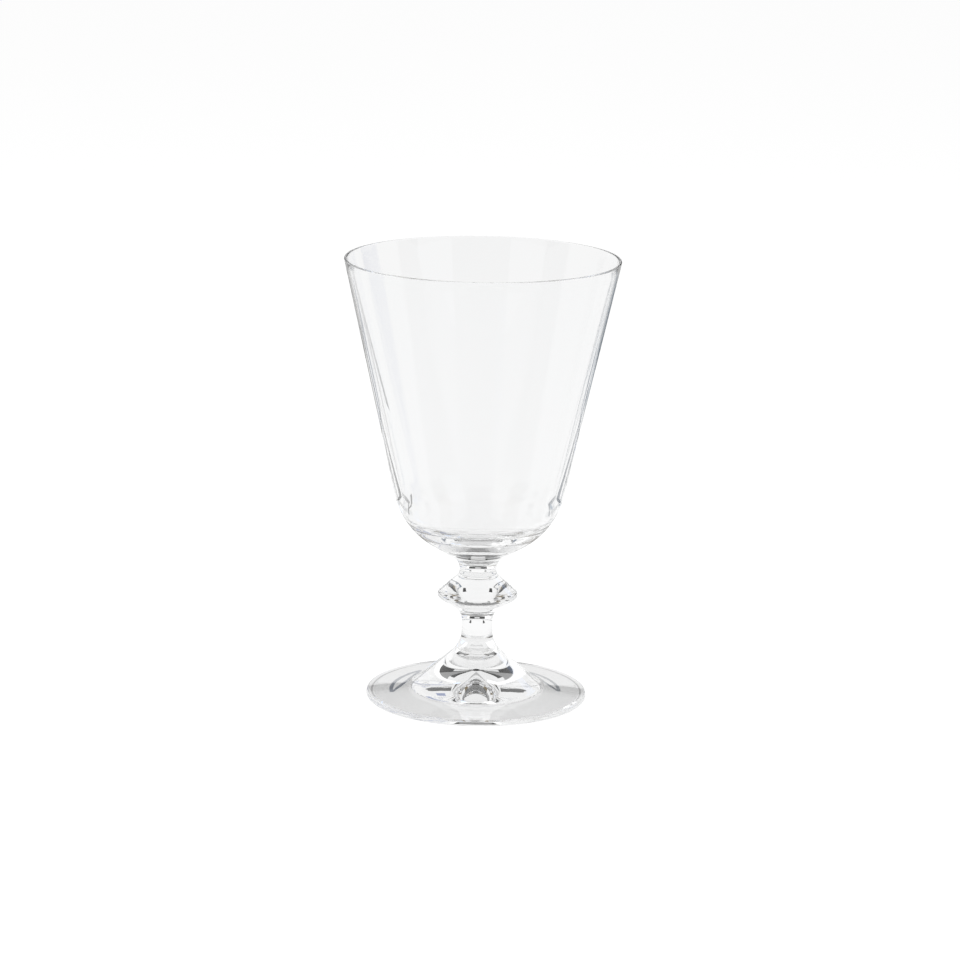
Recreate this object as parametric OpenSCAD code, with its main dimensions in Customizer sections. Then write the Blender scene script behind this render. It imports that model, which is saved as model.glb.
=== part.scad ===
// Water goblet in clear glass: a deep bowl, a short stem with a knop, and a wide round foot.
// The three pieces of glass are joined end to end at two flat joint faces.
// Lengths are millimetres. +Z is up, and the origin is the centre of the ring that the foot stands on.
// A corner is given where its two straight sides would meet, and an arc then rounds it off.

/* [Bowl] */
// Height of the bowl, from its joint with the stem to the lip
bowl_h = 105.9; // [88:0.1:125]
// Outer diameter at the lip
rim_d = 92; // [84:0.2:100]
// Thickness of the glass at the lip
rim_wall = 1; // [0.8:0.1:2]
// Diameter at the heel, the corner between the bowl's side and its underside
heel_d = 52.2; // [46:0.2:58]
// Height of the heel's corner above the joint with the stem
heel_h = 15.1; // [12:0.1:19]
// Radius that rounds the heel on the outside
heel_round = 29.5; // [15:0.5:34]
// Thickness of the glass at the heel, measured level
heel_wall = 2.6; // [1.8:0.1:4]
// Thickness of glass from the joint up to the level floor of the hollow
floor_t = 13.5; // [11:0.1:15]
// Radius that rounds the hollow where its floor turns up into the side
hollow_round = 10; // [6:0.5:10]
// Diameter of the shallow dip in the middle of the hollow's floor
dip_d = 14; // [12:0.2:16]
// Diameter at the bottom of the dip
dip_low_d = 10; // [8:0.2:11]
// Depth of the dip
dip_h = 0.6; // [0.3:0.1:1]
// Radius that rounds the dip's edge, above and below
dip_round = 4; // [1:0.5:5]
// Height of the neck's corner above the joint, under the bowl
bowl_neck_h = 2.8; // [2:0.1:4]
// Radius of the sweep from the neck into the bowl's underside
bowl_neck_round = 5.1; // [2:0.1:6]

/* [Stem] */
// Diameter of the neck between the bowl and the knop
neck_d = 12.4; // [10:0.1:15]
// Height of the neck, from the knop's upper corner to the joint with the bowl
neck_h = 1.5; // [1.2:0.1:3]
// Diameter of the knop at the corner between its two cones
knop_d = 28.8; // [24:0.2:36]
// Radius that rounds the knop's edge
knop_round = 1.4; // [0.6:0.1:3]
// Height of the knop's upper cone
knop_top_h = 7.4; // [5:0.1:10]
// Height of the knop's lower cone
knop_low_h = 5.7; // [4:0.1:8]
// Radius of the sweep from the neck into the knop's upper cone
knop_top_round = 3.3; // [1:0.1:4]
// Radius of the sweep from the knop's lower cone into the waist
knop_low_round = 6; // [2:0.1:8]
// Height of the waist on the stem, from the joint with the foot to the knop's lower corner
waist_h = 6.3; // [5:0.1:10]

/* [Foot] */
// Height of the foot, from the ring it stands on to its joint with the stem
foot_h = 23.2; // [21:0.1:29]
// Diameter of the waist between the knop and the foot
waist_d = 10.5; // [8:0.1:13]
// Height at which the flare's slope meets the waist
flare_h = 18.2; // [15:0.1:20]
// Radius of the sweep from the waist into the flare
flare_round = 9.5; // [4:0.1:12]
// Diameter at which the flare's slope meets the disc
flare_d = 44.6; // [38:0.2:52]
// Radius of the sweep from the flare into the disc
disc_round = 4; // [2:0.5:14]
// Height of the disc's upper side at the flare
disc_h = 3.4; // [3:0.1:5]
// Diameter of the foot
foot_d = 74.4; // [66:0.2:84]
// Thickness of the foot at its edge
edge_t = 1.8; // [1.4:0.1:2.6]
// Radius that rounds the foot's edge, above and below
edge_round = 0.8; // [0.3:0.05:0.9]
// Width of the flat ring that the foot stands on
ring_w = 1.9; // [1.4:0.1:4]
// Radius that eases the ring's inner edge into the hollow
ring_round = 1; // [0.5:0.1:3]
// Height of the hollow under the foot, at its tip
under_h = 5.6; // [3:0.1:7]
// Diameter of the hollow's small flat tip
tip_d = 2; // [1:0.1:6]
// Radius that rounds the tip
tip_round = 2; // [1:0.5:6]
// Diameter at which the hollow's steep middle meets its nearly level outer part
shoulder_d = 40; // [30:0.5:50]
// Height of the hollow there
shoulder_h = 1.4; // [0.6:0.1:2.2]
// Radius of the sweep between the two
shoulder_round = 60; // [10:1:80]

/* [Hidden] */

// Steps around each full turn
$fn = 180;
// Steps along each rounded corner
corner_steps = 16;
// Share of a side that one rounded corner may take, where both ends of the side are rounded
shared_side_share = 0.49;
// Share of a side that a rounded corner may take, where the side's other end is sharp
end_side_share = 0.98;
// Colour of the clear glass
clear_glass = [0.90, 0.94, 0.95, 0.45];

// Radii that neighbouring pieces share
neck_r = neck_d / 2;
waist_r = waist_d / 2;

// Heights above the standing ring
knop_low_z = foot_h + waist_h;
knop_z = knop_low_z + knop_low_h;
knop_top_z = knop_z + knop_top_h;
bowl_z = knop_top_z + neck_h;
bowl_neck_z = bowl_z + bowl_neck_h;
heel_z = bowl_z + heel_h;
floor_z = bowl_z + floor_t;
dip_z = floor_z - dip_h;
rim_z = bowl_z + bowl_h;

// The bowl's straight side, as the radius it loses for each millimetre of height
side_slope = (rim_d - heel_d) / 2 / (rim_z - heel_z);
// The hollow's side gets thicker by the same amount for each millimetre down to the heel
wall_slope = (heel_wall - rim_wall) / (rim_z - heel_z);
// Radius of the hollow's side where it would meet the level of the floor
hollow_r = heel_d / 2 - heel_wall - (heel_z - floor_z) * (side_slope + wall_slope);

// Radius inside the standing ring
ring_in_r = foot_d / 2 - edge_round - ring_w;

function unit(v) = v / norm(v);

// Arc that rounds the corner b between the points a and c, tangent to both sides.
// The arc takes no more than the given share of the side back to a, or of the side ahead to c.
function corner_arc(a, b, c, wanted_r, back_share, ahead_share) =
    let (
        back = unit(a - b),
        ahead = unit(c - b),
        turn = 180 - acos(back * ahead),
        room = min(back_share * norm(a - b), ahead_share * norm(c - b)),
        arc_r = min(wanted_r, room / tan(turn / 2)),
        centre = b + unit(back + ahead) * arc_r / cos(turn / 2),
        start = b + back * arc_r * tan(turn / 2) - centre,
        start_angle = atan2(start.y, start.x),
        sweep = cross(back, ahead) < 0 ? turn : -turn
    )
    [for (i = [0 : corner_steps])
        let (angle = start_angle + sweep * i / corner_steps)
        centre + arc_r * [cos(angle), sin(angle)]];

// The place of corner i, without its rounding radius
function place(corners, i) = [corners[i].x, corners[i].y];

// Outline through corners given as [radius, height, rounding radius]; the first and last stay sharp
function rounded(corners) =
    let (last = len(corners) - 1)
    [for (i = [0 : last])
        each (i == 0 || i == last)
            ? [place(corners, i)]
            : corner_arc(
                place(corners, i - 1), place(corners, i), place(corners, i + 1), corners[i][2],
                i == 1 ? end_side_share : shared_side_share,
                i == last - 1 ? end_side_share : shared_side_share)];

// Outside of the bowl, from the joint up to the lip, over it and down the hollow to the axis
function bowl_outline() = rounded([
    [neck_r, bowl_z],
    [neck_r, bowl_neck_z, bowl_neck_round],
    [heel_d / 2, heel_z, heel_round],
    [rim_d / 2, rim_z, rim_wall / 2],
    [rim_d / 2 - rim_wall, rim_z, rim_wall / 2],
    [hollow_r, floor_z, hollow_round],
    [dip_d / 2, floor_z, dip_round],
    [dip_low_d / 2, dip_z, dip_round],
    [0, dip_z]
]);

// Side of the stem, from its joint with the foot, round the knop, to its joint with the bowl
function stem_outline() = rounded([
    [waist_r, foot_h],
    [waist_r, knop_low_z, knop_low_round],
    [knop_d / 2, knop_z, knop_round],
    [neck_r, knop_top_z, knop_top_round],
    [neck_r, bowl_z]
]);

// Foot from the tip of the hollow under it, over the standing ring, round the edge and up the flare
function foot_outline() = rounded([
    [0, under_h],
    [tip_d / 2, under_h, tip_round],
    [shoulder_d / 2, shoulder_h, shoulder_round],
    [ring_in_r, 0, ring_round],
    [foot_d / 2, 0, edge_round],
    [foot_d / 2, edge_t, edge_round],
    [flare_d / 2, disc_h, disc_round],
    [waist_r, flare_h, flare_round],
    [waist_r, foot_h]
]);

// Blown bowl, with a solid bottom that narrows to the neck
module bowl() {
    color(clear_glass)
    rotate_extrude()
    polygon(concat([[0, bowl_z]], bowl_outline()));
}

// Solid pressed stem with its knop
module stem() {
    color(clear_glass)
    rotate_extrude()
    polygon(concat([[0, foot_h]], stem_outline(), [[0, bowl_z]]));
}

// Solid foot: the flare, the disc and its hollow underside
module foot() {
    color(clear_glass)
    rotate_extrude()
    polygon(concat(foot_outline(), [[0, foot_h]]));
}

bowl();
stem();
foot();
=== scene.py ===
"""Water goblet in clear glass: a deep bowl, a short stem with a knop, and a wide round foot.

The three pieces of glass are spun about the Z axis from the same outlines as the solids that they
stand for. They meet at two flat faces where the glass is fused, and light passes there unbent.
"""

import logging
import math
from dataclasses import dataclass
from enum import Enum

import bmesh
import bpy
from mathutils import Matrix, Vector


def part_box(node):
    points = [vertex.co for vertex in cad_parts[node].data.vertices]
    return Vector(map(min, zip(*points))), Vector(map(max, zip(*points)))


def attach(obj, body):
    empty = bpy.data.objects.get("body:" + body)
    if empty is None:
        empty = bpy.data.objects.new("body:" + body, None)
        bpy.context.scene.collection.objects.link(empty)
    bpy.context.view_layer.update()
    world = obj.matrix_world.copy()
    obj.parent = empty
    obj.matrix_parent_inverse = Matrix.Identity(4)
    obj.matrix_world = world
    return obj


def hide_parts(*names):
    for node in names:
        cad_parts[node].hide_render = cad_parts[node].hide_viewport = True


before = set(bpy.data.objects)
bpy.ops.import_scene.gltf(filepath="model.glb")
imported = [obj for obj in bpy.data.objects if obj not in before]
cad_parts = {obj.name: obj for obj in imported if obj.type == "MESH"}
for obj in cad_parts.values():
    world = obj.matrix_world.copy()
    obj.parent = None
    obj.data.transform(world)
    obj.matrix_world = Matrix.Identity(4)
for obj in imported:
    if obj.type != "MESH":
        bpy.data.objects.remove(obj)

LOG = logging.getLogger("goblet")

MM = 0.001
"""One millimetre in metres. The glass's sizes are written in millimetres, as a maker gives them."""

TURN_STEPS = 256
"""Faces round a full turn of glass."""

CARD_STEPS = 24
"""Faces along each side of a bent card."""

TABLE_DROP = 0.03
"""How far the table lies below the foot's ring, in millimetres, so that they share no face."""

STRIP_LEVEL = -TABLE_DROP / 2
"""Level of the flat strips and arcs, between the table top and the foot's ring, in millimetres."""

CORNER_STEPS = 24
"""Faces along each rounded corner of an outline."""

SHARED_SIDE = 0.49
"""Share of a side that one rounded corner may take, where both ends of the side are rounded."""

END_SIDE = 0.98
"""Share of a side that a rounded corner may take, where the side's other end is sharp."""

STRAIGHT_STEP = 2.5
"""Longest face along a straight side of an outline, in millimetres, so that its normals stay true."""

NECK_D = 12.4
"""Diameter of the neck, where the bowl and the stem are fused, in millimetres."""

WAIST_D = 10.5
"""Diameter of the waist, where the stem and the foot are fused, in millimetres."""

MERGE_GAP = 0.0005
"""Points of a spun mesh that lie closer than this, in millimetres, are one point."""

SEAM_GAP = 0.01
"""A face whose corners all lie this close to a joint's height, in millimetres, is its seam."""

SEAM_INDEX = 1
"""Number of the seam's material on each piece. The glass has number 0."""

WALL_SURFACES = 4
"""Surfaces of glass that a straight ray crosses on its way through both walls of the bowl."""

GLASS_BOUNCES = 128
"""How often light may be bent or thrown back inside the glass."""

CLEAR_BOUNCES = 64
"""How many clear faces a ray may cross."""

WHITE = (1.0, 1.0, 1.0, 1.0)
"""Plain white."""

WARM_WALL = (0.22, 0.18, 0.12)
"""Shade of the dim, warm wall at each side of the set."""

COOL_MARK = (0.2, 0.24, 0.3)
"""Shade of the cool, dark marks on the table beside the glass."""

BODY = "root"
"""The one rigid body: nothing on the glass moves."""

"""Slot of the record's materials that every piece of glass takes."""


class Piece(Enum):
    """The three pieces of glass, by the names of their solids."""

    BOWL = "bowl"
    STEM = "stem"
    FOOT = "foot"


@dataclass(frozen=True)
class Corner:
    """A corner of an outline, given where its two straight sides would meet.

    Attributes:
        radius: Distance from the glass's axis, in millimetres.
        height: Height above the table, in millimetres.
        rounding: Radius of the arc that rounds the corner, in millimetres.
    """

    radius: float
    height: float
    rounding: float = 0.0

    def place(self) -> Vector:
        """Return the corner as a point in the plane of the outline."""
        return Vector((self.radius, self.height))


@dataclass(frozen=True)
class Outline:
    """Half of a section through a turned piece of glass, as corners that arcs round off."""

    corners: tuple[Corner, ...]

    def arc(self, index: int) -> list[Vector]:
        """Round one corner with an arc that is tangent to both of its sides.

        Args:
            index: Which corner, neither the first nor the last.

        Returns:
            The points of the arc in the outline's order.
        """
        here = self.corners[index].place()
        back = self.corners[index - 1].place() - here
        ahead = self.corners[index + 1].place() - here
        last = len(self.corners) - 1
        room = min(
            back.length * (END_SIDE if index == 1 else SHARED_SIDE),
            ahead.length * (END_SIDE if index == last - 1 else SHARED_SIDE),
        )
        back.normalize()
        ahead.normalize()
        half_turn = (math.pi - back.angle(ahead)) / 2
        radius = min(self.corners[index].rounding, room / math.tan(half_turn))
        centre = here + (back + ahead).normalized() * radius / math.cos(half_turn)
        start = here + back * radius * math.tan(half_turn) - centre
        start_angle = math.atan2(start.y, start.x)
        turned_left = back.x * ahead.y - back.y * ahead.x < 0
        sweep = 2 * half_turn if turned_left else -2 * half_turn
        angles = [start_angle + sweep * step / CORNER_STEPS for step in range(CORNER_STEPS + 1)]
        return [centre + radius * Vector((math.cos(angle), math.sin(angle))) for angle in angles]

    def points(self) -> list[Vector]:
        """Return the whole outline, with its first and last corners left sharp."""
        path = [self.corners[0].place()]
        for index in range(1, len(self.corners) - 1):
            self._extend(path, self.arc(index))
        self._extend(path, [self.corners[-1].place()])
        return path

    @staticmethod
    def _extend(path: list[Vector], more: list[Vector]) -> None:
        """Carry the path on by a straight side in short steps, and then by more points."""
        start, end = path[-1], more[0]
        steps = max(1, math.ceil((end - start).length / STRAIGHT_STEP))
        path.extend(start.lerp(end, step / steps) for step in range(1, steps))
        path.extend(more)


@dataclass(frozen=True)
class Joint:
    """A flat face where two pieces of glass are fused."""

    radius: float
    height: float


@dataclass
class Stations:
    """Heights and radii that neighbouring pieces share, in millimetres."""

    foot_joint: Joint
    bowl_joint: Joint
    lip_height: float
    foot_radius: float

    @classmethod
    def from_frame(cls) -> "Stations":
        """Read the joint heights, the lip and the foot's size from the solids' boxes."""
        foot_low, foot_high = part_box(Piece.FOOT.value)
        bowl_low, bowl_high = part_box(Piece.BOWL.value)
        return cls(
            foot_joint=Joint(radius=WAIST_D / 2, height=foot_high[2] / MM),
            bowl_joint=Joint(radius=NECK_D / 2, height=bowl_low[2] / MM),
            lip_height=bowl_high[2] / MM,
            foot_radius=(foot_high[0] - foot_low[0]) / 2 / MM,
        )


class Socket:
    """A shader socket that adds Math nodes when it is used in an expression."""

    def __init__(self, finish: "NodeTree", socket: bpy.types.NodeSocket) -> None:
        """Wrap one output socket of a node tree."""
        self.finish = finish
        self.socket = socket

    def _math(self, operation: str, first: "Socket | float", second: "Socket | float" = 0.0) -> "Socket":
        """Add one Math node and return its output."""
        return self.finish.node("ShaderNodeMath", {"operation": operation}, {0: first, 1: second})

    def __add__(self, other: "Socket | float") -> "Socket":
        """Return self + other."""
        return self._math("ADD", self, other)

    def __radd__(self, other: float) -> "Socket":
        """Return other + self."""
        return self._math("ADD", other, self)

    def __mul__(self, other: "Socket | float") -> "Socket":
        """Return self * other."""
        return self._math("MULTIPLY", self, other)

    def __rmul__(self, other: float) -> "Socket":
        """Return other * self."""
        return self._math("MULTIPLY", other, self)

    def __truediv__(self, other: "Socket | float") -> "Socket":
        """Return self / other."""
        return self._math("DIVIDE", self, other)

    def __rtruediv__(self, other: float) -> "Socket":
        """Return other / self."""
        return self._math("DIVIDE", other, self)

    def power(self, other: "Socket | float") -> "Socket":
        """Return this raised to a power."""
        return self._math("POWER", self, other)

    def maximum(self, other: "Socket | float") -> "Socket":
        """Return the larger of the two."""
        return self._math("MAXIMUM", self, other)

    def ramp(self, low: float, high: float, at_low: float = 0.0, at_high: float = 1.0) -> "Socket":
        """Return a smooth step from at_low to at_high as the value goes from low to high."""
        return self.finish.node(
            "ShaderNodeMapRange",
            {"interpolation_type": "SMOOTHSTEP"},
            {"Value": self, "From Min": low, "From Max": high, "To Min": at_low, "To Max": at_high},
        )


@dataclass
class NodeTree:
    """A node tree that starts empty. Its method node adds every node."""

    tree: bpy.types.NodeTree

    def __post_init__(self) -> None:
        """Remove the nodes that a new tree comes with."""
        self.tree.nodes.clear()

    def node(
        self,
        kind: str,
        settings: dict | None = None,
        inputs: dict | None = None,
        output: int | str = 0,
    ) -> Socket:
        """Add a node.

        Args:
            kind: The node's Blender type.
            settings: Values of the node's own properties, set first.
            inputs: Values or links of its sockets, by name or number.
            output: The output to return.

        Returns:
            The wrapped output socket, or an empty wrapper for a node with no outputs.
        """
        made = self.tree.nodes.new(kind)
        for name, value in (settings or {}).items():
            setattr(made, name, value)
        for name, value in (inputs or {}).items():
            if isinstance(value, Socket):
                self.tree.links.new(value.socket, made.inputs[name])
            else:
                made.inputs[name].default_value = value
        return Socket(self, made.outputs[output] if made.outputs else None)

    def light_path(self, fact: str) -> Socket:
        """Return one fact about the ray that asks, by the name of Light Path's output."""
        return self.node("ShaderNodeLightPath", {}, {}, fact)


def new_material(name: str) -> tuple[bpy.types.Material, NodeTree]:
    """Make a material.

    Args:
        name: Its name.

    Returns:
        The material, and its node tree, which is still empty.
    """
    material = bpy.data.materials.new(name)
    material.use_nodes = True
    return material, NodeTree(material.node_tree)


def new_object(
    name: str, form: bmesh.types.BMesh, *materials: bpy.types.Material
) -> bpy.types.Object:
    """Make an object from a bmesh and put it in the scene.

    Args:
        name: The name of the object and of its mesh.
        form: The shape, which is freed here.
        materials: Its materials, in the order of the faces' numbers.

    Returns:
        The object, at the origin.
    """
    mesh = bpy.data.meshes.new(name)
    form.to_mesh(mesh)
    form.free()
    for material in materials:
        mesh.materials.append(material)
    made = bpy.data.objects.new(name, mesh)
    bpy.context.scene.collection.objects.link(made)
    return made


@dataclass(frozen=True)
class ClearGlass:
    """Clear, colourless, fire-polished soda-lime glass, with slow waves in its surface.

    Attributes:
        name: The material's name.
        tint: Its trace of colour.
        index: How strongly it bends light.
        wave_pitch: Distance between two waves along the glass, in millimetres.
        wave_turns: How fast the waves change round the glass.
        wave_depth: Their depth in the stem and the flare, in millimetres.
        axis_guard: Radius inside which the waves no longer turn, in millimetres.
        bowl_share: Share of the depth that is left in the bowl.
        bowl_fade: Heights between which the waves fade into the bowl, in millimetres.
        disc_share: Share of the depth that is left in the disc.
        disc_fade: Heights between which the waves grow out of the disc, in millimetres.
    """

    name: str = "clear_glass"
    tint: tuple[float, float, float, float] = (0.989, 0.991, 0.992, 1.0)
    index: float = 1.52
    wave_pitch: float = 5.0
    wave_turns: float = 1.6
    wave_depth: float = 0.005
    axis_guard: float = 0.5
    bowl_share: float = 0.04
    bowl_fade: tuple[float, float] = (40.0, 60.0)
    disc_share: float = 0.15
    disc_fade: tuple[float, float] = (3.0, 10.0)

    def build(self) -> bpy.types.Material:
        """Return the material, with the slow waves that forming leaves in the glass."""
        material, tree = new_material(self.name)
        shader = tree.node(
            "ShaderNodeBsdfPrincipled",
            {},
            {
                "Base Color": self.tint,
                "Roughness": 0.0,
                "IOR": self.index,
                "Transmission Weight": 1.0,
                "Normal": self._waves(tree),
            },
        )
        tree.node("ShaderNodeOutputMaterial", {}, {"Surface": shader})
        return material

    def _waves(self, tree: NodeTree) -> Socket:
        """Return the normal bent by long waves that run round the glass, weaker in the blown bowl."""
        place = tree.node("ShaderNodeTexCoord", {}, {}, "Object")
        x = tree.node("ShaderNodeSeparateXYZ", {}, {"Vector": place}, "X")
        y = tree.node("ShaderNodeSeparateXYZ", {}, {"Vector": place}, "Y")
        z = tree.node("ShaderNodeSeparateXYZ", {}, {"Vector": place}, "Z")
        radius = (x * x + y * y).power(0.5).maximum(self.axis_guard * MM)
        spot = tree.node(
            "ShaderNodeCombineXYZ",
            {},
            {
                "X": (radius + z) * (1 / (self.wave_pitch * MM)),
                "Y": x / radius * self.wave_turns,
                "Z": y / radius * self.wave_turns,
            },
        )
        noise = tree.node(
            "ShaderNodeTexNoise",
            {"noise_dimensions": "3D"},
            {"Vector": spot, "Scale": 1.0, "Detail": 1.0, "Roughness": 0.5},
        )
        bowl_low, bowl_high = (height * MM for height in self.bowl_fade)
        disc_low, disc_high = (height * MM for height in self.disc_fade)
        in_bowl = z.ramp(bowl_low, bowl_high, 1.0, self.bowl_share)
        in_disc = z.ramp(disc_low, disc_high, self.disc_share, 1.0)
        return tree.node(
            "ShaderNodeBump",
            {},
            {
                "Height": noise * (in_bowl * in_disc),
                "Distance": self.wave_depth * MM,
                "Strength": 1.0,
            },
            "Normal",
        )


@dataclass(frozen=True)
class FusedSeam:
    """The face where two pieces of glass are fused: there is nothing to see, so it is clear."""

    name: str = "fused_seam"

    def build(self) -> bpy.types.Material:
        """Return the material, which lets every ray through unbent."""
        material, tree = new_material(self.name)
        shader = tree.node("ShaderNodeBsdfPrincipled", {}, {"Base Color": WHITE, "Alpha": 0.0})
        tree.node("ShaderNodeOutputMaterial", {}, {"Surface": shader})
        return material


def spin_about_axis(
    form: bmesh.types.BMesh,
    profile: list[bmesh.types.BMVert | bmesh.types.BMEdge],
    angle: float,
    steps: int,
) -> None:
    """Spin points and edges about the glass's axis.

    Args:
        form: The bmesh that holds them.
        profile: The points and edges.
        angle: How far to spin, in radians, anticlockwise seen from above where it is positive.
        steps: How many faces each edge leaves.
    """
    bmesh.ops.spin(
        form,
        geom=profile,
        cent=(0, 0, 0),
        axis=(0, 0, math.copysign(1, angle)),
        dvec=(0, 0, 0),
        angle=abs(angle),
        steps=steps,
        use_merge=True,
        use_normal_flip=False,
        use_duplicate=False,
    )


@dataclass
class TurnedGlass:
    """A piece of glass that is round about the Z axis."""

    piece: Piece
    stations: Stations
    glass: bpy.types.Material
    seam: bpy.types.Material

    def outline(self) -> list[Vector]:
        """Return the outline from the axis round to the axis again, in millimetres."""
        raise NotImplementedError

    def joints(self) -> tuple[Joint, ...]:
        """Return the flat faces where this piece is fused to its neighbours."""
        raise NotImplementedError

    def build(self) -> bpy.types.Object:
        """Spin the outline into a closed mesh, dress it and place it on the body.

        Returns:
            The finished object, at the origin, with its place in its mesh.
        """
        form = bmesh.new()
        points = [form.verts.new((point.x * MM, 0.0, point.y * MM)) for point in self.outline()]
        edges = [form.edges.new(pair) for pair in zip(points[:-1], points[1:])]
        spin_about_axis(form, points + edges, 2 * math.pi, TURN_STEPS)
        bmesh.ops.remove_doubles(form, verts=form.verts, dist=MERGE_GAP * MM)
        bmesh.ops.recalc_face_normals(form, faces=form.faces)
        self._mark_seams(form)
        made = new_object(self.piece.value + "_glass", form, self.glass, self.seam)
        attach(made, BODY)
        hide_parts(self.piece.value)
        return made

    def _mark_seams(self, form: bmesh.types.BMesh) -> None:
        """Shade the glass smooth, and give the flat joint faces the seam's material."""
        heights = [joint.height * MM for joint in self.joints()]
        for face in form.faces:
            face.smooth = True
            for height in heights:
                if all(abs(vert.co.z - height) < SEAM_GAP * MM for vert in face.verts):
                    face.material_index = SEAM_INDEX
                    face.smooth = False
        for edge in form.edges:
            if len({face.material_index for face in edge.link_faces}) > 1:
                edge.smooth = False


@dataclass
class Bowl(TurnedGlass):
    """Blown bowl: solid at the bottom, where it narrows to the neck. Sizes in millimetres."""

    rim_d: float = 92.0
    rim_wall: float = 1.0
    heel_d: float = 52.2
    heel_h: float = 15.1
    heel_round: float = 29.5
    heel_wall: float = 2.6
    floor_t: float = 13.5
    hollow_round: float = 10.0
    dip_d: float = 14.0
    dip_low_d: float = 10.0
    dip_h: float = 0.6
    dip_round: float = 4.0
    neck_h: float = 2.8
    neck_round: float = 5.1

    def outline(self) -> list[Vector]:
        """Return the outside from the joint up, over the lip and down the hollow."""
        joint = self.stations.bowl_joint
        lip = self.stations.lip_height
        heel = joint.height + self.heel_h
        floor = joint.height + self.floor_t
        side_slope = (self.rim_d - self.heel_d) / 2 / (lip - heel)
        wall_slope = (self.heel_wall - self.rim_wall) / (lip - heel)
        hollow_r = self.heel_d / 2 - self.heel_wall - (heel - floor) * (side_slope + wall_slope)
        shape = Outline((
            Corner(joint.radius, joint.height),
            Corner(joint.radius, joint.height + self.neck_h, self.neck_round),
            Corner(self.heel_d / 2, heel, self.heel_round),
            Corner(self.rim_d / 2, lip, self.rim_wall / 2),
            Corner(self.rim_d / 2 - self.rim_wall, lip, self.rim_wall / 2),
            Corner(hollow_r, floor, self.hollow_round),
            Corner(self.dip_d / 2, floor, self.dip_round),
            Corner(self.dip_low_d / 2, floor - self.dip_h, self.dip_round),
            Corner(0.0, floor - self.dip_h),
        ))
        return [Vector((0.0, joint.height))] + shape.points()

    def joints(self) -> tuple[Joint, ...]:
        """Return the joint with the stem."""
        return (self.stations.bowl_joint,)


@dataclass
class Stem(TurnedGlass):
    """Pressed stem with its knop. Sizes in millimetres."""

    knop_d: float = 28.8
    knop_round: float = 1.4
    neck_h: float = 1.5
    knop_top_h: float = 7.4
    knop_low_h: float = 5.7
    knop_top_round: float = 3.3
    knop_low_round: float = 6.0
    waist_h: float = 6.3

    def outline(self) -> list[Vector]:
        """Return the side of the stem from the joint with the foot up to the joint with the bowl."""
        foot, bowl = self.stations.foot_joint, self.stations.bowl_joint
        shape = Outline((
            Corner(foot.radius, foot.height),
            Corner(foot.radius, foot.height + self.waist_h, self.knop_low_round),
            Corner(self.knop_d / 2, foot.height + self.waist_h + self.knop_low_h, self.knop_round),
            Corner(bowl.radius, bowl.height - self.neck_h, self.knop_top_round),
            Corner(bowl.radius, bowl.height),
        ))
        return [Vector((0.0, foot.height))] + shape.points() + [Vector((0.0, bowl.height))]

    def joints(self) -> tuple[Joint, ...]:
        """Return the joints with the foot and with the bowl."""
        return (self.stations.foot_joint, self.stations.bowl_joint)


@dataclass
class Foot(TurnedGlass):
    """Solid foot: a flare, a thin disc and a shallow hollow underneath. Sizes in millimetres."""

    flare_h: float = 18.2
    flare_round: float = 9.5
    flare_d: float = 44.6
    disc_round: float = 4.0
    disc_h: float = 3.4
    edge_t: float = 1.8
    edge_round: float = 0.8
    ring_w: float = 1.9
    ring_round: float = 1.0
    under_h: float = 5.6
    tip_d: float = 2.0
    tip_round: float = 2.0
    shoulder_d: float = 40.0
    shoulder_h: float = 1.4
    shoulder_round: float = 60.0

    def outline(self) -> list[Vector]:
        """Return the outline from the tip of the hollow, round the edge and up the flare."""
        joint, foot_r = self.stations.foot_joint, self.stations.foot_radius
        shape = Outline((
            Corner(0.0, self.under_h),
            Corner(self.tip_d / 2, self.under_h, self.tip_round),
            Corner(self.shoulder_d / 2, self.shoulder_h, self.shoulder_round),
            Corner(foot_r - self.edge_round - self.ring_w, 0.0, self.ring_round),
            Corner(foot_r, 0.0, self.edge_round),
            Corner(foot_r, self.edge_t, self.edge_round),
            Corner(self.flare_d / 2, self.disc_h, self.disc_round),
            Corner(joint.radius, self.flare_h, self.flare_round),
            Corner(joint.radius, joint.height),
        ))
        return shape.points() + [Vector((0.0, joint.height))]

    def joints(self) -> tuple[Joint, ...]:
        """Return the joint with the stem."""
        return (self.stations.foot_joint,)


@dataclass(frozen=True)
class PhotoCamera:
    """The camera as the photograph's outline gives it, with lengths in millimetres."""

    frame_px: float = 960.0
    focal_px: float = 3563.0
    distance: float = 1161.9
    height: float = 348.8
    pitch_deg: float = 13.27
    roll_deg: float = 0.96
    axis_shift_px: float = -0.56
    sensor: float = 36.0
    clip_near: float = 10.0
    clip_far: float = 100_000.0

    def build(self) -> bpy.types.Object:
        """Return the scene's camera."""
        data = bpy.data.cameras.new("photo_camera")
        data.sensor_width = self.sensor
        data.lens = self.focal_px / self.frame_px * self.sensor
        data.clip_start = self.clip_near * MM
        data.clip_end = self.clip_far * MM
        camera = bpy.data.objects.new("photo_camera", data)
        turn = Matrix.Rotation(math.radians(90 - self.pitch_deg), 4, "X")
        roll = Matrix.Rotation(math.radians(self.roll_deg), 4, "Z")
        aside = -self.axis_shift_px / self.focal_px * self.distance
        move = Matrix.Translation(Vector((aside, -self.distance, self.height)) * MM)
        camera.matrix_world = move @ turn @ roll
        bpy.context.scene.collection.objects.link(camera)
        bpy.context.scene.camera = camera
        return camera


def grey(level: float) -> tuple[float, float, float]:
    """Return an even grey, where 1 is white."""
    return (level, level, level)


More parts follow.
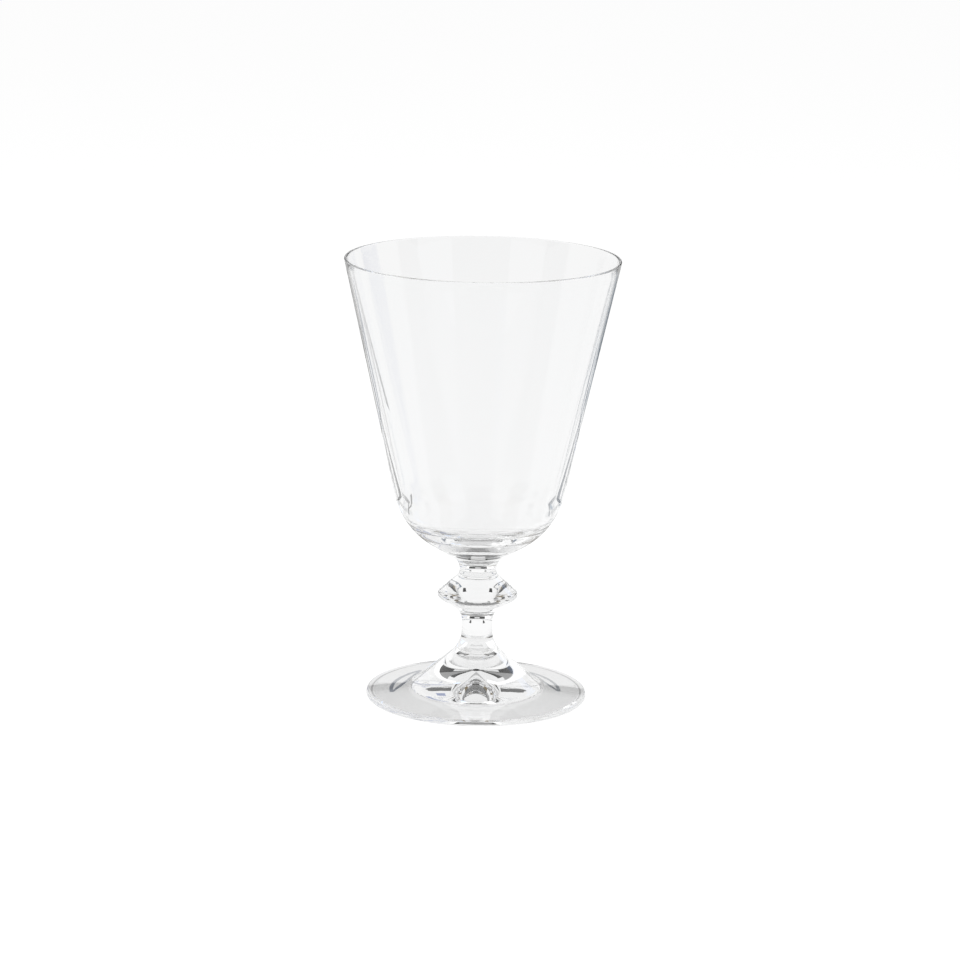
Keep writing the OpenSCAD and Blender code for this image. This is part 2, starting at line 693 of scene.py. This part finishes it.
@dataclass(frozen=True)
class Card:
    """A card or softbox that only the glass sees, bent round the glass at one distance.

    Angles are in degrees: round from the back of the set, to the right as positive, and up
    from the table. The distance is in metres, and a nearer card stands in front of a farther one.
    """

    name: str
    round_from: float
    round_to: float
    up_from: float
    up_to: float
    shade: tuple[float, float, float]
    distance: float = 7.5

    def build(self) -> bpy.types.Object:
        """Bend a grid into place and give it its even shade.

        Returns:
            The card, which throws no light or shadow on the table and which the camera can't see.
        """
        form = bmesh.new()
        bmesh.ops.create_grid(form, x_segments=CARD_STEPS, y_segments=CARD_STEPS, size=1.0)
        wide, high = self.round_to - self.round_from, self.up_to - self.up_from
        for vert in form.verts:
            turn = math.radians(self.round_from + wide * (vert.co.x + 1) / 2)
            rise = math.radians(self.up_from + high * (vert.co.y + 1) / 2)
            level = math.cos(rise) * self.distance
            height = math.sin(rise) * self.distance
            vert.co = Vector((math.sin(turn) * level, math.cos(turn) * level, height))
        return stage_object(self.name, form, even_shade(self.name, self.shade, hidden_by_walls=True))


@dataclass(frozen=True)
class Strip:
    """A dark strip that lies flat on the table, beside the glass or behind it.

    The places of the middle of its near and far ends, and its widths there, are in millimetres.
    """

    name: str
    near: tuple[float, float]
    far: tuple[float, float]
    near_width: float
    far_width: float
    shade: tuple[float, float, float]

    def build(self) -> bpy.types.Object:
        """Lay the strip just above the table top.

        Returns:
            The strip, which only the glass sees.
        """
        form = bmesh.new()
        near, far = self.near_width / 2, self.far_width / 2
        corners = (
            (self.near[0] - near, self.near[1]), (self.near[0] + near, self.near[1]),
            (self.far[0] + far, self.far[1]), (self.far[0] - far, self.far[1]),
        )
        form.faces.new([form.verts.new((x * MM, y * MM, STRIP_LEVEL * MM)) for x, y in corners])
        return stage_object(self.name, form, even_shade(self.name, self.shade))


@dataclass(frozen=True)
class ShadowArc:
    """A thin grey arc on the table under the foot, drawn as a line of shadow.

    Sizes are in millimetres and angles in degrees, counted as a card's are.
    """

    name: str
    radius: float
    width: float
    round_from: float
    round_to: float
    shade: tuple[float, float, float]

    def build(self) -> bpy.types.Object:
        """Lay the arc just above the table top.

        Returns:
            The arc, which only the glass sees.
        """
        form = bmesh.new()
        turn = math.radians(self.round_from)
        start = []
        for radius in (self.radius - self.width / 2, self.radius + self.width / 2):
            place = Vector((math.sin(turn) * radius, math.cos(turn) * radius, STRIP_LEVEL))
            start.append(form.verts.new(place * MM))
        sweep = math.radians(self.round_to - self.round_from)
        steps = math.ceil(TURN_STEPS * sweep / (2 * math.pi))
        spin_about_axis(form, start + [form.edges.new(start)], -sweep, steps)
        return stage_object(self.name, form, even_shade(self.name, self.shade))


def even_shade(
    name: str, shade: tuple[float, float, float], hidden_by_walls: bool = False
) -> bpy.types.Material:
    """Make a material that shines evenly at one shade.

    Args:
        name: What the material is on.
        shade: Its shade, where 1 is white.
        hidden_by_walls: Whether a ray that goes straight through the bowl's two walls, and so
            crosses four surfaces without being thrown back, meets the plain backdrop instead.

    Returns:
        The material.
    """
    material, tree = new_material(name + "_shade")
    shine = tree.node("ShaderNodeEmission", {}, {"Color": (*shade, 1.0), "Strength": 1.0})
    if hidden_by_walls:
        crossings = tree.light_path("Transmission Depth")
        crossed = crossings.ramp(WALL_SURFACES - 1.0, WALL_SURFACES)
        straight = tree.light_path("Glossy Depth").ramp(0.0, 1.0, 1.0, 0.0)
        clear = tree.node("ShaderNodeBsdfTransparent")
        shine = tree.node("ShaderNodeMixShader", {}, {0: crossed * straight, 1: shine, 2: clear})
    tree.node("ShaderNodeOutputMaterial", {}, {"Surface": shine})
    material.cycles.emission_sampling = "NONE"
    return material


def stage_object(name: str, form: bmesh.types.BMesh, material: bpy.types.Material) -> bpy.types.Object:
    """Turn a bmesh into part of the set that only reflected and bent rays meet.

    Args:
        name: The object's name.
        form: The shape, which is freed here.
        material: Its material.

    Returns:
        The object.
    """
    made = new_object(name, form, material)
    made.visible_camera = False
    made.visible_diffuse = False
    made.visible_shadow = False
    return made


@dataclass(frozen=True)
class Softbox:
    """A rectangular lamp that faces the glass and that the glass doesn't mirror.

    Attributes:
        name: The lamp's name.
        place: Its middle, in metres.
        size: Its width and height, in metres.
        power: Its power in watts.
        aim_height: Height above the table that it points at, in metres.
    """

    name: str
    place: tuple[float, float, float]
    size: tuple[float, float]
    power: float = 20.0
    aim_height: float = 0.09

    def build(self) -> bpy.types.Object:
        """Return the lamp, turned to the glass."""
        data = bpy.data.lights.new(self.name, "AREA")
        data.shape = "RECTANGLE"
        data.size, data.size_y = self.size
        data.energy = self.power
        lamp = bpy.data.objects.new(self.name, data)
        aim = Vector((0.0, 0.0, self.aim_height)) - Vector(self.place)
        turn = aim.to_track_quat("-Z", "Y").to_matrix().to_4x4()
        lamp.matrix_world = Matrix.Translation(self.place) @ turn
        lamp.visible_glossy = False
        lamp.visible_transmission = False
        bpy.context.scene.collection.objects.link(lamp)
        return lamp


@dataclass
class Studio:
    """White table and backdrop, the lamps, and the cards and strips that draw lines in the glass.

    Attributes:
        floor_size: Width and depth of the table, in metres.
        room_level: Brightness of the backdrop as the glass sees it, where 1 is white.
        table_level: Brightness of the table as the glass sees it, where 1 is white.
        table_paint: Shade of the table's paint, which takes the shadow.
        paint_to_camera: Share of the lit paint in what the camera sees of the table.
        paint_to_glass: Share of the lit paint in what the glass sees of the table.
        lamps: The lamps.
        cards: The bent cards, which stand round the glass.
        strips: The strips and arcs, which lie on the table.
    """

    floor_size: float = 16.0
    room_level: float = 0.88
    table_level: float = 0.93
    table_paint: tuple[float, float, float, float] = (0.9, 0.9, 0.9, 1.0)
    paint_to_camera: float = 0.15
    paint_to_glass: float = 0.05
    lamps: tuple[Softbox, ...] = (
        Softbox("softbox_left", (-0.9, -0.3, 0.55), (0.25, 0.9)),
        Softbox("softbox_right", (0.9, -0.45, 0.6), (0.35, 0.9)),
    )
    cards: tuple[Card, ...] = (
        Card("ceiling", -180, 180, 72, 90, grey(0.15)),
        Card("ceiling_back", -100, 100, 62, 72, grey(0.5)),
        Card("ceiling_front", 100, 260, 62, 72, grey(0.2)),
        Card("camera_side", 100, 260, 0, 41, grey(0.5), distance=7.6),
        Card("window_front_left", -156, -124, 12, 50, grey(0.8), distance=7.4),
        Card("window_front_right", 120, 152, 12, 50, (0.8, 0.8, 0.82), distance=7.4),
        Card("camera_side_top", 132, 228, 41, 62, grey(0.08)),
        Card("side_flag_left", 238, 264, 15, 30, grey(0.08), distance=7.45),
        Card("side_flag_right", 96, 122, 15, 30, grey(0.08), distance=7.45),
        Card("wall_left", 228, 264, 28, 62, WARM_WALL),
        Card("wall_right", 96, 132, 28, 62, WARM_WALL),
        Card("flag_behind", -20, 20, 2.5, 18, grey(0.015)),
        Card("flag_behind_middle", -20, 20, 18, 28, grey(0.3)),
        Card("gap_behind", -6, 6, 5, 15, grey(0.8), distance=7.4),
        Card("flag_behind_top", -12, 12, 28, 34, grey(0.05)),
        Card("flag_left", -80, -68, 22, 32, grey(0.12)),
        Card("flag_right", 68, 80, 22, 32, grey(0.12)),
        Card("softbox_back_left", -45, -22, 2.5, 54, grey(1.3)),
        Card("softbox_back_right", 20, 27, 2.5, 36, grey(1.2)),
        Card("window_right", 32, 50, 24, 41, (1.0, 1.2, 1.6)),
        Card("curtain_right", 50, 75, 0, 14, (0.3, 0.34, 0.5)),
    )
    strips: tuple[Strip | ShadowArc, ...] = (
        Strip("table_edge_left", (-109, 40), (-190, 980), 16, 24, grey(0.15)),
        Strip("table_edge_right", (109, 40), (190, 980), 18, 26, (0.15, 0.17, 0.2)),
        # Dark lines on the table beside the glass, which only the glass sees.
        Strip("table_line_near_left", (-31, 95), (-60, 204), 12, 13, grey(0.05)),
        Strip("table_line_near_right", (31, 95), (60, 204), 12, 13, grey(0.05)),
        Strip("table_mark_left", (-150, 250), (-235, 400), 26, 34, COOL_MARK),
        Strip("table_mark_right", (150, 250), (190, 330), 26, 34, COOL_MARK),
        # Longer dark lines on the table behind the glass, which only the glass sees.
        Strip("table_line_left", (-97, 345), (-186, 676), 10, 24, grey(0.22)),
        Strip("table_line_right", (150, 330), (215, 600), 36, 46, (0.25, 0.33, 0.42)),
        ShadowArc("contact_shadow", 35.2, 0.6, 0, 360, grey(0.5)),
        ShadowArc("foot_shadow_left", 28.6, 1.3, -98, -40, (0.3, 0.32, 0.36)),
        ShadowArc("foot_shadow_right", 28.0, 1.1, 40, 92, (0.36, 0.38, 0.4)),
    )

    def build(self) -> None:
        """Make the world, the table, the lamps, and then the cards and strips."""
        self._world()
        self._floor()
        for prop in self.lamps + self.cards + self.strips:
            prop.build()

    def _world(self) -> None:
        """Make the world: white to the camera, and a little less bright to the glass."""
        world = bpy.data.worlds.new("studio")
        bpy.context.scene.world = world
        world.use_nodes = True
        tree = NodeTree(world.node_tree)
        level = tree.light_path("Is Camera Ray") * (1 - self.room_level) + self.room_level
        white = tree.node("ShaderNodeBackground", {}, {"Color": WHITE, "Strength": level})
        tree.node("ShaderNodeOutputWorld", {}, {"Surface": white})

    def _floor(self) -> None:
        """Make the white table top, a hair below the ring that the foot stands on."""
        form = bmesh.new()
        bmesh.ops.create_grid(form, x_segments=1, y_segments=1, size=self.floor_size / 2)
        bmesh.ops.translate(form, verts=form.verts, vec=(0.0, 0.0, -TABLE_DROP * MM))
        material, tree = new_material("white_table")
        seen = tree.light_path("Is Camera Ray")
        seen = seen.maximum(tree.light_path("Is Glossy Ray"))
        seen = seen.maximum(tree.light_path("Is Transmission Ray"))
        to_camera = tree.light_path("Is Camera Ray")
        share = to_camera * (self.paint_to_glass - self.paint_to_camera) + (1 - self.paint_to_glass)
        level = to_camera * (1 - self.table_level) + self.table_level
        paint = tree.node("ShaderNodeBsdfDiffuse", {}, {"Color": self.table_paint})
        white = tree.node("ShaderNodeEmission", {}, {"Color": WHITE, "Strength": level})
        mixed = tree.node("ShaderNodeMixShader", {}, {0: seen * share, 1: paint, 2: white})
        tree.node("ShaderNodeOutputMaterial", {}, {"Surface": mixed})
        new_object("table_top", form, material)


def light_settings() -> None:
    """Let light cross enough glass surfaces, and keep colours as they are written."""
    scene = bpy.context.scene
    scene.view_settings.view_transform = "Standard"
    scene.cycles.max_bounces = GLASS_BOUNCES
    scene.cycles.transmission_bounces = GLASS_BOUNCES
    scene.cycles.glossy_bounces = GLASS_BOUNCES
    scene.cycles.transparent_max_bounces = CLEAR_BOUNCES


def main() -> None:
    """Build the camera, the glass and the set in order, and report each piece."""
    logging.basicConfig(level=logging.INFO, format="%(message)s")
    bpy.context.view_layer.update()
    light_settings()
    PhotoCamera().build()
    stations = Stations.from_frame()
    glass = ClearGlass().build()
    seam = FusedSeam().build()
    for kind, piece in ((Bowl, Piece.BOWL), (Stem, Piece.STEM), (Foot, Piece.FOOT)):
        made = kind(piece=piece, stations=stations, glass=glass, seam=seam).build()
        LOG.info("%s: %d faces", made.name, len(made.data.polygons))
    Studio().build()


if __name__ == "__main__":
    main()
